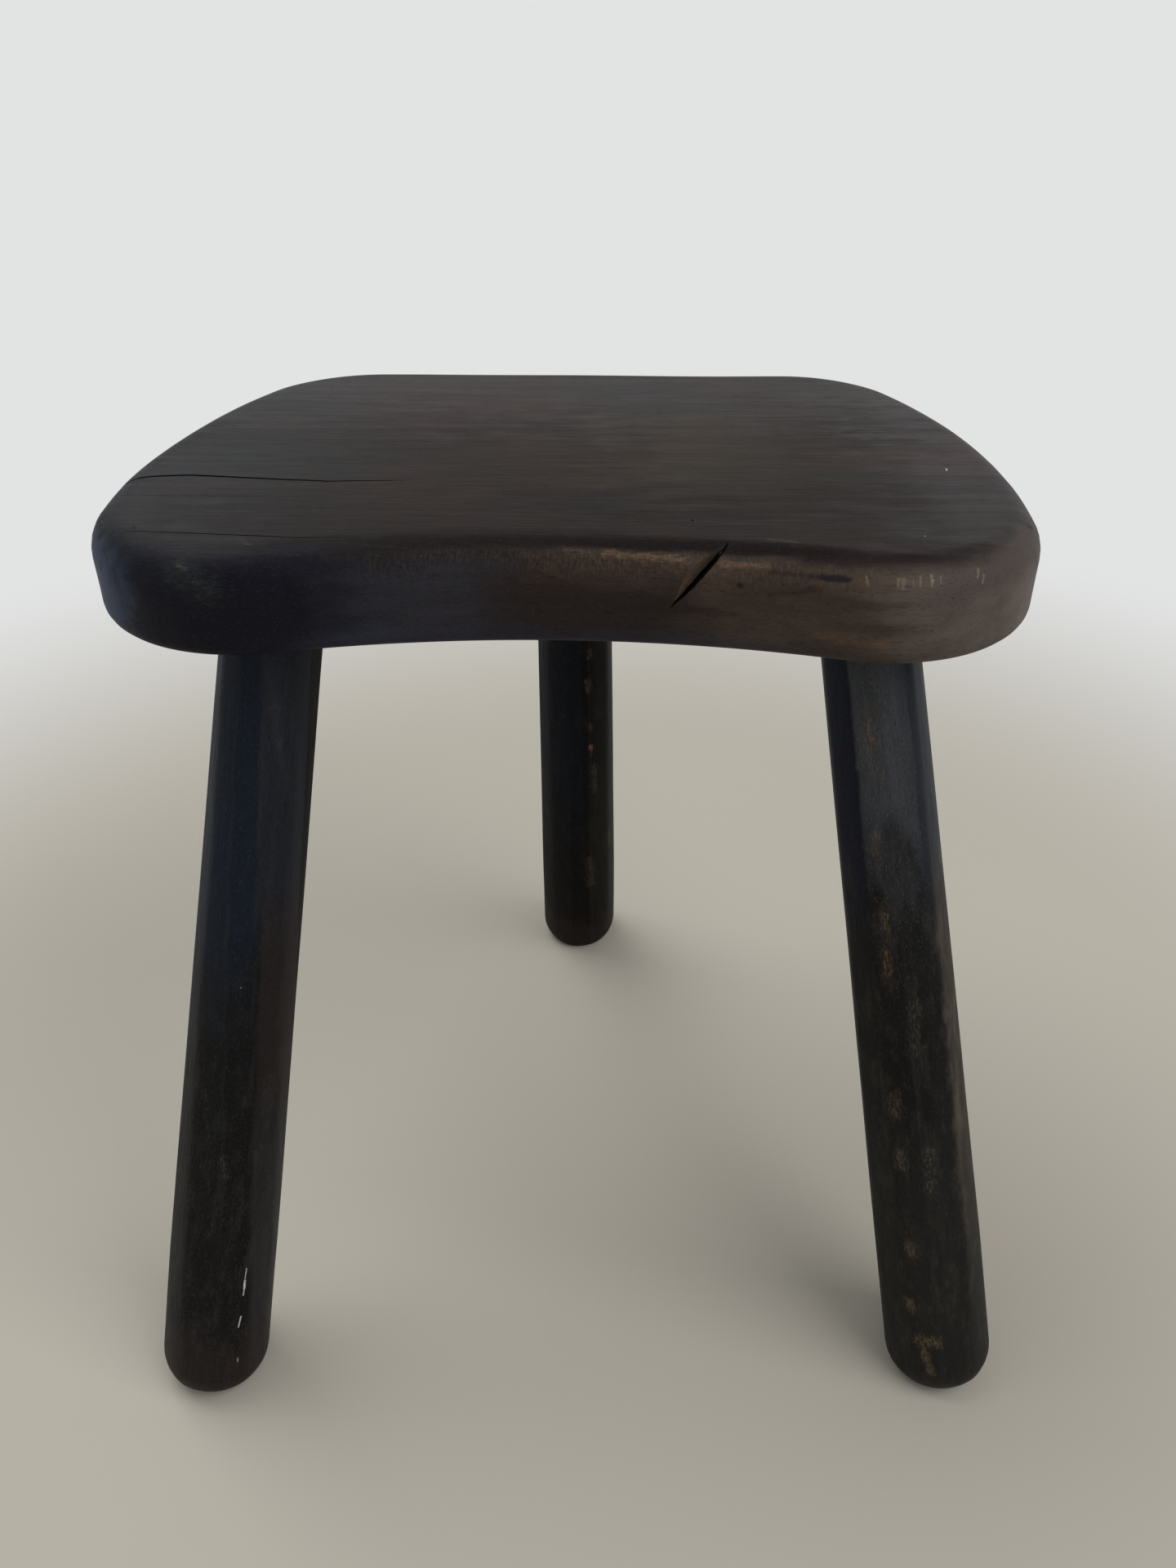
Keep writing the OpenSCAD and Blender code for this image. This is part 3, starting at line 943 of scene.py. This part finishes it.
def stained_wood(material, space, seed, tones, clouds=(0.2, 0.2), flecked=None, gloss=0.46,
                 sheen=0.2, zones=(), marks=(), ridge=None, relief=(0.12, 0.5)):
    """Fills a material. Space is the matrix that puts X along the grain, tones are the dark, light,
    warm and cool colours, and clouds are the shares of the last two. Flecked is the share and the
    colour of the flecks, and relief the height in millimetres and the strength of the bump."""
    dark, light, warm, cool = (color(*tone) for tone in tones)
    material.use_nodes = True
    tree = material.node_tree
    shader = tree.nodes["Principled BSDF"]
    shader.inputs["Specular IOR Level"].default_value = sheen
    turned_to = {"Vector": add(tree, "TexCoord").outputs["Object"],
                 "Location": space.translation[:], "Rotation": space.to_euler("XYZ")[:]}
    along = add(tree, "Mapping", turned_to, vector_type="TEXTURE").outputs[0]
    grain = place_group(tree, grain_group, along, Seed=seed)
    cloud = place_group(tree, cloud_group, along, Seed=seed)
    tone = calc(tree, "ADD", calc(tree, "MULTIPLY", grain["Rings"], RING_SHARE),
                calc(tree, "MULTIPLY", grain["Fibres"], FIBRE_SHARE))
    base = mix(tree, tone, dark, light)
    base = mix(tree, calc(tree, "MULTIPLY", cloud["Warm"], clouds[0]), base, warm)
    base = mix(tree, calc(tree, "MULTIPLY", cloud["Cool"], clouds[1]), base, cool)
    rough = calc(tree, "MULTIPLY_ADD", grain["Fibres"], FIBRE_ROUGH, gloss)
    height = calc(tree, "SUBTRACT", tone, grain["Pores"])
    if zones:
        patterns = wear_patterns(tree, along, seed, tone, grain, {row[2] for row in zones})
        base, height = paint_zones(tree, base, height, places(tree, along, ridge), patterns, zones)
    in_pores = [c * PORE_TONE for c in dark[:3]] + [1]
    base = mix(tree, calc(tree, "MULTIPLY", grain["Pores"], PORE_SHARE), base, in_pores)
    if flecked:
        share = calc(tree, "MULTIPLY", grain["Flecks"], flecked[0])
        base = mix(tree, share, base, color(*flecked[1]))
    base = paint_marks(tree, base, along, space, marks)
    bump = add(tree, "Bump", {"Height": height, "Distance": relief[0] * MM, "Strength": relief[1]})
    tree.links.new(base, shader.inputs["Base Color"])
    tree.links.new(rough, shader.inputs["Roughness"])
    tree.links.new(bump.outputs[0], shader.inputs["Normal"])
    print(material.name, "has", len(tree.nodes), "nodes")


def strokes(piece, rows):
    """Turns rows of two pixels and the rest into marks on a piece."""
    return [(seen_at(piece, *row[:2]), seen_at(piece, *row[2:4]), *row[4:]) for row in rows]


# %% [markdown]
# ## The finish of the seat
# The top is brown, with a grey bloom at the back and the ends that is painted sheen, and painted
# shade darkens its front. Along the front a thin dark line runs on the rim, partly the old
# red-brown coat and partly painted shade, with painted shade below it, and below that a plane has
# left fine chatter marks in a band that is rubbed to tan. The left end is blue-black, partly a
# colder coat and partly painted shade and cool light from the left. The right end is worn to the
# bare wood and brightened by painted warm light from the right. All of it could be one noise with a
# few colours, but the eye reads such wear as a history, so each zone gets a row of its own.

# %% Zones of the seat
FRONT, TOP_FACE = ("front", 0.35, None, 0.15), ("z", 391, None, 4)
SEAT_TONES = (25, 22, 21), (41, 35, 31), (54, 37, 32), (34, 40, 39)
# each row: colour, strength, pattern, and limits. Each limit: what is measured, from, to, softness
SEAT_ZONES = [
    # the top: painted sheen, grey at the back and the right end and bluish at the left end, and a
    # warm patch
    ((104, 102, 103), 0.23, "Tone", TOP_FACE, ("y", 40, None, 55)),
    ((106, 104, 106), 0.22, "Tone", TOP_FACE, ("x", 128, None, 34)),
    ((62, 70, 78), 0.25, "Tone", TOP_FACE, ("x", None, -104, 62)),
    ((96, 78, 56), 0.2, "Tone", TOP_FACE, ("x", 24, 72, 42), ("y", -56, 44, 36)),
    # painted shade: the front of the top is darker, where it catches less sheen
    ((18, 15, 14), 0.56, None, TOP_FACE, ("y", -140, -50, 34), ("x", -130, 90, 45)),
    # the edge round the back and sides, and the underside
    ((84, 66, 56), 0.3, "Tone", ("inset", 0.5, 5.5, 1.6), ("z", 388, 398.5, 2.5),
     ("y", -50, None, 25)),
    ((50, 42, 38), 0.3, "Tone", ("z", None, 364.4, 0.4)),
    # the left lobe: blue-black, partly a colder coat and partly painted shade and cool light from
    # the left, and a pale blue painted sheen at its end
    ((12, 14, 25), 0.88, None, ("z", None, 399, 2.5), ("x", None, -66, 24), ("y", None, 30, 40),
     ("inset", None, 13, 3)),
    ((46, 48, 57), 0.72, "Tone", FRONT, ("z", None, 393, 5), ("x", -76, -20, 16),
     ("inset", None, 14, 4)),
    ((58, 72, 99), 0.62, "Tone", ("x", None, -147, 9), ("z", 366, 393, 5), ("inset", None, 9, 2),
     ("y", None, -66, 24)),
    # the middle of the front
    ((38, 31, 32), 0.65, "Tone", FRONT, ("z", None, 391, 5), ("x", -26, 40, 14),
     ("inset", None, 14, 4)),
    ((84, 72, 62), 0.22, "Tone", FRONT, ("z", 386, 398, 4), ("x", -6, 76, 24),
     ("inset", None, 6.5, 1.2)),
    # the right lobe and end: worn lighter, and brightened further by painted warm light from the
    # right
    ((80, 68, 59), 0.62, "Tone", FRONT, ("z", None, 398.5, 3), ("x", 50, None, 20),
     ("inset", None, 9, 2)),
    ((104, 96, 92), 0.58, "Tone", ("x", 114, None, 18), ("z", None, 398, 4), ("y", None, -70, 24),
     ("inset", None, 9, 2)),
    ((126, 108, 98), 0.16, None, ("x", 153, None, 5), ("z", 369, 391, 5), ("y", None, -70, 10)),
    # the dark line on the rim, partly old coat and partly painted shade where the rim turns from
    # the bright reflection, and painted shade below it
    ((14, 7, 6), 0.92, None, FRONT, ("inset", 6.4, 14.6, 1.3), ("x", -70, 96, 16)),
    ((26, 16, 17), 0.72, None, FRONT, ("inset", 6, 14, 2.6), ("x", 92, 146, 14)),
    ((36, 27, 24), 0.6, "Tone", FRONT, ("z", 387, 399.5, 4), ("x", 60, 92, 10),
     ("inset", None, 7, 2)),
    ((52, 45, 42), 0.5, "Tone", ("z", 389, 399.5, 4), ("x", 122, 166, 9), ("y", None, -70, 24),
     ("inset", None, 8, 3)),
    # more painted shade on the rim towards the left
    ((14, 7, 6), 0.85, None, FRONT, ("inset", 12, 18, 1.4), ("x", -100, 24, 18)),
    # chatter marks of the plane
    ((138, 112, 86), 0.13, "Chatter", FRONT, ("inset", 0.8, 6, 1.8), ("z", 388, 398.5, 3),
     ("x", 2, 108, 26)),
    ((104, 100, 94), 0.1, "Chatter", FRONT, ("inset", 0.8, 6, 1.8), ("z", 388, 398.5, 3),
     ("x", -70, 4, 24)),
    # the low edge of the front
    ((47, 51, 66), 0.44, "Tone", FRONT, ("z", None, 370.6, 2.8), ("x", -90, 90, 20),
     ("inset", None, 8, 2.5)),
]
print("zones of the seat:", len(SEAT_ZONES))

# %% Marks and finish of the seat
PALE, CREAM, SOOT, PURPLE = (150, 134, 118), (158, 140, 112), (16, 13, 13), (26, 22, 30)
# each row: two pixels, width in millimetres, softness, raggedness, share of flecks, colour and
# strength
SEAT_MARKS = [
    # white specks on the top
    (1159, 574, 1159, 576, 0.6, 0.6, 0.5, 0, (196, 190, 182), 0.7),
    (1132, 656, 1133, 657, 0.4, 0.6, 0.6, 0, (160, 150, 140), 0.4),
    # a dark pit, and stains along the rim
    (905, 716, 907, 717, 1.6, 0.8, 0.5, 0, SOOT, 0.8),
    (1008, 707, 1038, 710, 2.2, 0.7, 1, 0, PURPLE, 0.85),
    (944, 700, 1004, 707, 1.4, 1, 1.2, 0, PURPLE, 0.5),
    (944, 728, 1004, 722, 1.6, 1, 1.4, 0, SOOT, 0.35),
    # pale nicks in the rim
    (1061, 706, 1063, 716, 0.9, 0.8, 0.8, 0.3, CREAM, 0.27),
    (1100, 709, 1100, 719, 0.7, 0.8, 0.8, 0.2, CREAM, 0.28),
    (1107, 711, 1106, 720, 1.5, 0.9, 1, 0.4, CREAM, 0.28),
    (1118, 710, 1119, 718, 0.6, 0.8, 0.8, 0.2, CREAM, 0.16),
    (1127, 706, 1127, 718, 0.7, 0.8, 0.8, 0.2, CREAM, 0.24),
    (1140, 704, 1142, 711, 0.9, 0.7, 0.7, 0.3, CREAM, 0.34),
    (1142, 711, 1141, 718, 0.9, 0.7, 0.7, 0.3, CREAM, 0.32),
    (1198, 697, 1197, 707, 0.7, 0.8, 0.8, 0.2, CREAM, 0.34),
    (1205, 704, 1203, 714, 0.6, 0.8, 0.8, 0.2, CREAM, 0.34),
    (1152, 706, 1152, 714, 0.6, 0.9, 0.8, 0.2, CREAM, 0.22),
    # brown rubs below the rim
    (1026, 786, 1088, 789, 1.5, 1, 1.4, 0.4, (124, 90, 68), 0.26),
    (1000, 778, 1095, 782, 2.2, 1, 1.2, 0.5, (116, 86, 66), 0.24),
    # a grey scuff on the top
    (942, 660, 976, 664, 1.6, 1, 0.8, 0, (84, 86, 80), 0.2),
    # rubs along the front rim
    (740, 677, 812, 682, 2.2, 1, 1.8, 0.6, (140, 112, 86), 0.34),
    (822, 684, 864, 693, 2.4, 1, 1.8, 0.6, (146, 126, 102), 0.34),
    (884, 690, 940, 694, 1.8, 1, 1.6, 0.6, (140, 112, 84), 0.3),
    (690, 672, 720, 676, 1.5, 1, 1.6, 0.6, (100, 88, 72), 0.26),
    # scuffs of the left lobe
    (214, 700, 250, 722, 9, 1, 1.4, 0.6, (62, 64, 58), 0.3),
    (218, 692, 226, 696, 1.2, 1, 1.2, 0.5, PALE, 0.09),
    (236, 712, 244, 716, 1, 1, 1.2, 0.5, PALE, 0.06),
    (295, 660, 305, 667, 1.2, 1, 1.6, 0.6, PALE, 0.08),
    # a speck at the left end
    (168, 586, 175, 595, 0.8, 0.8, 0.6, 0, (100, 98, 96), 0.1),
]
stained_wood(STAINED_SEAT, SEAT_PLACE, 4.0, SEAT_TONES, clouds=(0.48, 0.45),
             flecked=(0.14, (84, 74, 66)), gloss=0.44, sheen=0.07, zones=SEAT_ZONES,
             marks=strokes(seat, SEAT_MARKS), relief=(0.12, 0.6))

# %% [markdown]
# ## The finish of the legs
# The legs are nearly black. Their upper flats on the left are blue, which is painted cool light
# from the left, and painted shade darkens the left leg's flats below. The front legs' upper flats
# beside the ridge carry a painted sheen, on the right leg a silver bloom of fine flecks, and all of
# them turn browner towards the floor. The rear leg is darker still, as painted shade under the
# seat. Wear has picked small ragged spots out of the ridges, and one scratch on the left leg is
# still white. One black material for all three would be quicker, but each leg was shaved and
# handled in its own way and stands in its own light, so each has its own rows in the same recipe.

# %% Zones of the legs
RIDGE_LINE = ((46, 43, 42), 0.25, "Tone", ("ridge", 0.45, None, 0.3))
FOOT_BROWN = ((52, 41, 38), 0.45, "Tone", ("x", -20, 34, 18))
LEG_ZONES = {
    "leg_front_left": [
        # painted cool light: the upper left flats are blue
        ((14, 25, 38), 0.8, None, ("turn", -125, 0, 2.5), ("x", 225, 400, 45)),
        # painted shade on the lower left flats
        ((7, 8, 8), 0.7, None, ("turn", -80, 0, 3), ("x", 40, 215, 35)),
        # painted sheen on the upper flats beside the ridge
        ((40, 44, 54), 0.6, "Tone", ("turn", 0, 62, 2.5), ("x", 250, 400, 35)),
        ((44, 35, 33), 0.5, "Tone", ("turn", 6, 66, 3), ("x", 168, 262, 14)),
        ((46, 45, 46), 0.55, "Tone", ("turn", 2, 100, 4), ("x", -20, 165, 30)),
        ((60, 59, 59), 0.32, "Patches", ("x", -20, 210, 55)),
        ((84, 72, 62), 0.18, "Flecks", ("x", -20, 170, 60)),
        RIDGE_LINE,
        FOOT_BROWN,
    ],
    "leg_front_right": [
        # painted cool light: the upper left flats are dark blue
        ((12, 17, 33), 0.85, None, ("turn", -80, 0, 2), ("x", 258, 400, 25)),
        # painted sheen: a silver bloom of flecks on the upper flats beside the ridge, bluish
        # further round
        ((70, 72, 77), 0.72, "Tone", ("turn", 1, 66, 2.5), ("x", 290, 400, 45)),
        ((96, 98, 102), 0.32, "Flecks", ("turn", 1, 70, 4), ("x", 250, 400, 60)),
        ((44, 49, 58), 0.6, "Tone", ("turn", 60, 116, 6), ("x", 262, 400, 30)),
        ((62, 53, 46), 0.36, "Tone", ("turn", 74, 116, 5), ("x", 92, 262, 26)),
        ((96, 78, 62), 0.5, "Patches", ("turn", 70, 116, 5), ("x", 80, 262, 26)),
        ((38, 38, 36), 0.42, "Tone", ("x", -20, 150, 30)),
        ((70, 66, 59), 0.33, "Patches", ("x", -20, 270, 45)),
        RIDGE_LINE,
    ],
    "leg_rear": [
        # painted cool light: the upper left flats are blue
        ((11, 17, 28), 0.78, None, ("turn", -95, -12, 3), ("x", 140, 400, 50)),
        ((18, 19, 15), 0.55, "Tone", ("turn", -4, 70, 4), ("x", -20, 185, 25)),
        ((40, 38, 34), 0.32, "Patches", ("x", -20, 400, 40)),
        RIDGE_LINE,
        FOOT_BROWN,
    ],
}
print("zones of each leg:", [len(rows) for rows in LEG_ZONES.values()])

# %% Marks of the legs
SCRATCH, OCHRE, BROWN, RIDGE_HIGHLIGHT = (196, 194, 190), (104, 86, 64), (50, 40, 35), (70, 75, 84)
LEG_MARKS = {
    "leg_front_left": [
        # a painted highlight along the ridge
        (327, 808, 336, 866, 2.8, 1, 1.4, 0.5, RIDGE_HIGHLIGHT, 0.12),
        (336, 866, 342, 908, 2.8, 1, 1.4, 0.5, RIDGE_HIGHLIGHT, 0.12),
        (342, 908, 352, 966, 2.4, 1, 1.4, 0.5, RIDGE_HIGHLIGHT, 0.1),
        # the white scratch and its specks
        (302, 1553, 300, 1566, 0.4, 0.6, 0.5, 0, SCRATCH, 0.8),
        (300, 1568, 299, 1578, 0.9, 0.6, 0.7, 0, SCRATCH, 0.95),
        (299, 1578, 298, 1586, 0.5, 0.6, 0.7, 0, SCRATCH, 0.85),
        (295, 1612, 292, 1625, 0.6, 0.6, 0.7, 0, SCRATCH, 0.85),
        (291, 1663, 291, 1667, 0.5, 0.7, 0.5, 0, SCRATCH, 0.5),
        (295, 1209, 295, 1210, 0.3, 0.6, 0.3, 0, SCRATCH, 0.5),
        # flecked rubs
        (272, 1420, 276, 1440, 3, 1, 1, 0.9, PALE, 0.12),
        (236, 1620, 240, 1660, 4, 1, 1, 0.9, BROWN, 0.5),
    ],
    "leg_front_right": [
        # spots picked out of the ridge
        (1066, 880, 1067, 910, 3.6, 1, 1.6, 0.9, OCHRE, 0.4),
        (1050, 935, 1050, 940, 1.6, 0.9, 1.6, 0.6, OCHRE, 0.4),
        (1070, 1022, 1072, 1042, 3, 1, 1.8, 0.85, OCHRE, 0.5),
        (1085, 1122, 1086, 1136, 2.6, 1, 1.8, 0.85, OCHRE, 0.5),
        (1084, 1164, 1087, 1192, 2.8, 1, 1.8, 0.85, OCHRE, 0.48),
        (1095, 1343, 1096, 1364, 5, 1, 1.8, 0.8, OCHRE, 0.45),
        (1101, 1412, 1103, 1430, 3.4, 1, 1.8, 0.8, PALE, 0.22),
        (1138, 1412, 1140, 1458, 4.4, 1, 1.8, 0.9, PALE, 0.16),
        (1113, 1524, 1115, 1533, 3.8, 1, 1.8, 0.7, OCHRE, 0.55),
        (1114, 1570, 1115, 1576, 3, 1, 1.8, 0.6, BROWN, 0.6),
        (1113, 1594, 1115, 1602, 3.8, 1, 1.8, 0.6, OCHRE, 0.65),
        (1127, 1641, 1149, 1644, 5, 0.8, 1.8, 0.8, OCHRE, 0.75),
        (1131, 1654, 1140, 1680, 3.4, 0.8, 1.8, 0.7, OCHRE, 0.7),
        # flecked rubs
        (1120, 1230, 1120, 1290, 5, 1, 1.6, 0.9, PALE, 0.1),
        (1062, 868, 1072, 950, 4.6, 1, 1.8, 0.8, OCHRE, 0.2),
        (1082, 1110, 1088, 1200, 5, 1, 1.8, 0.8, OCHRE, 0.18),
        (1172, 1330, 1176, 1440, 4.6, 1, 1.8, 0.7, OCHRE, 0.32),
        (1150, 1036, 1152, 1056, 2.6, 1, 1.8, 0.7, OCHRE, 0.3),
    ],
    "leg_rear": [
        # pale spots down the ridge
        (719, 834, 721, 846, 2.6, 1, 1.8, 0.7, PALE, 0.22),
        (722, 797, 722, 805, 2.2, 1, 1.8, 0.7, PALE, 0.15),
        (723, 886, 723, 894, 2, 1, 1.8, 0.7, PALE, 0.13),
        # a rust-coloured spot with a dark end
        (723, 913, 724, 918, 2, 0.9, 1.4, 0.4, (158, 112, 86), 0.45),
        (723, 919, 724, 926, 2, 0.9, 1.2, 0.2, BROWN, 0.6),
        # flecked rubs
        (727, 938, 729, 968, 3, 1, 1.8, 0.8, PALE, 0.14),
        (722, 1052, 724, 1082, 4.4, 1, 1.8, 0.8, OCHRE, 0.38),
        (746, 1018, 746, 1032, 2.6, 1, 1.6, 0.7, OCHRE, 0.32),
    ],
}
print("marks of each leg:", [len(rows) for rows in LEG_MARKS.values()])

# %% Finish of the legs
ALONG_LEG = Matrix.Rotation(-math.pi / 2, 4, "Y")
# for each leg: noise seed, dark, light, warm and cool tone, shares of the last two, sheen
LEG_TONES = {
    "leg_front_left": (21.0, ((7, 7, 8), (16, 15, 16), (24, 18, 16), (13, 16, 21)),
                       (0.3, 0.5), 0.10),
    "leg_front_right": (37.0, ((7, 7, 7), (17, 16, 15), (26, 19, 15), (14, 16, 18)),
                        (0.5, 0.35), 0.11),
    # the rear leg's tones and sheen are far below the front legs': painted shade where it stands
    # under the seat
    "leg_rear": (55.0, ((3, 3, 3), (7, 7, 7), (13, 10, 8), (6, 8, 10)), (0.3, 0.3), 0.06),
}
for node_name, (seed, tones, clouds, sheen) in LEG_TONES.items():
    leg = legs[node_name]
    stained_wood(leg.data.materials[0], LEANS[node_name].place @ ALONG_LEG, seed, tones,
                 clouds=clouds, flecked=(0.20, (78, 73, 68)), sheen=sheen,
                 zones=LEG_ZONES[node_name], marks=strokes(leg, LEG_MARKS[node_name]),
                 ridge=RIDGES[node_name], relief=(0.14, 0.6))

# %% [markdown]
# ## Fresh and bare wood
# The facet of the gouge shows wood that never took the stain, darkened a little by air, and the
# cracks hold old dirt, made near black with painted shade of their deep gaps. Inside the joints the
# wood is pale and clean, and so are the wedges, which are the frame's own solids. Plain colours
# would do for such small places, but the recipe is there already and gives them the same grain.

# %% Cut faces and wedges
for material, dark, light, space in (
        # the cracks: old dirt and painted shade
        (CRACK_DIRT_AND_SHADE, (7, 5, 5), (14, 11, 10), SEAT_PLACE),
        (FRESH_WOOD, (52, 42, 35), (84, 69, 57), SEAT_PLACE),
        (BARE_WOOD, (126, 96, 66), (168, 134, 98), LEANS["leg_rear"].place @ ALONG_LEG)):
    stained_wood(material, space, 7.0, (dark, light, light, dark), relief=(0.1, 0.5))
for node_name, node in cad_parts.items():
    if node_name.startswith("wedge"):
        node.data.materials.clear()
        node.data.materials.append(BARE_WOOD)
        print(node_name, "is bare wood")

# %% [markdown]
# ## Floor and light
# A plain pale floor and soft light show the form best. A curved backdrop would do, but one wide
# disc needs no fitting to the camera: it is warm grey below the stool and paler away from it. Two
# large square lamps and an even sky light the stool at a plain level.

# %% Floor
FLOOR_RADIUS, PALE_FROM, PALE_FULL = 80.0, 0.40, 1.0
bm = bmesh.new()
bmesh.ops.create_circle(bm, cap_ends=True, segments=96, radius=FLOOR_RADIUS)
FLOOR = bpy.data.materials.new("floor")
floor = to_object(bm, "floor", FLOOR)
FLOOR.use_nodes = True
tree = FLOOR.node_tree
near = tree.nodes["Principled BSDF"]
near.inputs["Base Color"].default_value = color(186, 181, 169)
near.inputs["Roughness"].default_value = 0.9
near.inputs["Specular IOR Level"].default_value = 0.1
far = add(tree, "Emission", {"Color": color(226, 227, 227), "Strength": 1.0})
rays = add(tree, "LightPath").outputs
seen = calc(tree, "MAXIMUM", rays["Is Camera Ray"], rays["Is Glossy Ray"])
here = add(tree, "TexCoord").outputs["Object"]
away = add(tree, "VectorMath", {0: here}, operation="LENGTH").outputs["Value"]
share = calc(tree, "MULTIPLY", seen, soft_step(tree, away, PALE_FROM, PALE_FULL))
blend = add(tree, "MixShader", {0: share, 1: near.outputs[0], 2: far.outputs[0]})
tree.links.new(blend.outputs[0], tree.nodes["Material Output"].inputs["Surface"])
print("floor: a disc of", FLOOR_RADIUS, "m that is pale from", PALE_FULL, "m on")


# %% Lights
STOOL_MIDDLE = Vector((0, 0, 0.25))


def softbox(name, at, size, power):
    """A square soft lamp that looks at the middle of the stool."""
    lamp = bpy.data.lights.new(name, "AREA")
    lamp.shape, lamp.size, lamp.energy = "SQUARE", size, power
    obj = bpy.data.objects.new(name, lamp)
    aim = STOOL_MIDDLE - Vector(at)
    turn = aim.to_track_quat("-Z", "Y").to_matrix().to_4x4()
    obj.matrix_world = Matrix.Translation(at) @ turn
    bpy.context.scene.collection.objects.link(obj)
    print(name, "lamp of", power, "watts")


softbox("key", (-0.9, 0.55, 2.2), 1.5, 25.0)
softbox("fill", (1.3, -0.9, 2.1), 1.6, 26.0)

# %% Sky
HORIZON, CEILING, BACKDROP = 0.80, 0.32, 0.77
world = bpy.data.worlds.new("soft_sky")
bpy.context.scene.world = world
world.use_nodes = True
tree = world.node_tree
sky = tree.nodes["Background"]
direction = add(tree, "TexCoord").outputs["Generated"]
up = add(tree, "SeparateXYZ", {"Vector": direction}).outputs["Z"]
lit = soft_step(tree, up, 0.12, 0.60, HORIZON, CEILING)
seen = add(tree, "LightPath").outputs["Is Camera Ray"]
strength = add(tree, "Mix", {0: seen, 2: lit, 3: BACKDROP}, data_type="FLOAT").outputs[0]
tree.links.new(strength, sky.inputs["Strength"])
sky.inputs["Color"].default_value = (1, 1, 1, 1)
bpy.context.scene.view_settings.view_transform = "Standard"
print("sky from", HORIZON, "at the horizon to", CEILING, "overhead")

# %% [markdown]
# ## Hand over
# Each new piece says which body it rides on, which solid of the frame it stands for, and which
# finish of the record it has.

# %% Pieces
pieces = [(seat, "seat", "seat_wood")]
pieces += [(leg, node_name, "leg_wood") for node_name, leg in legs.items()]
for piece, node_name, slot in pieces:
    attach(piece, "root")
    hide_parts(node_name)
    print(piece.name, "stands for", node_name, "in", slot)
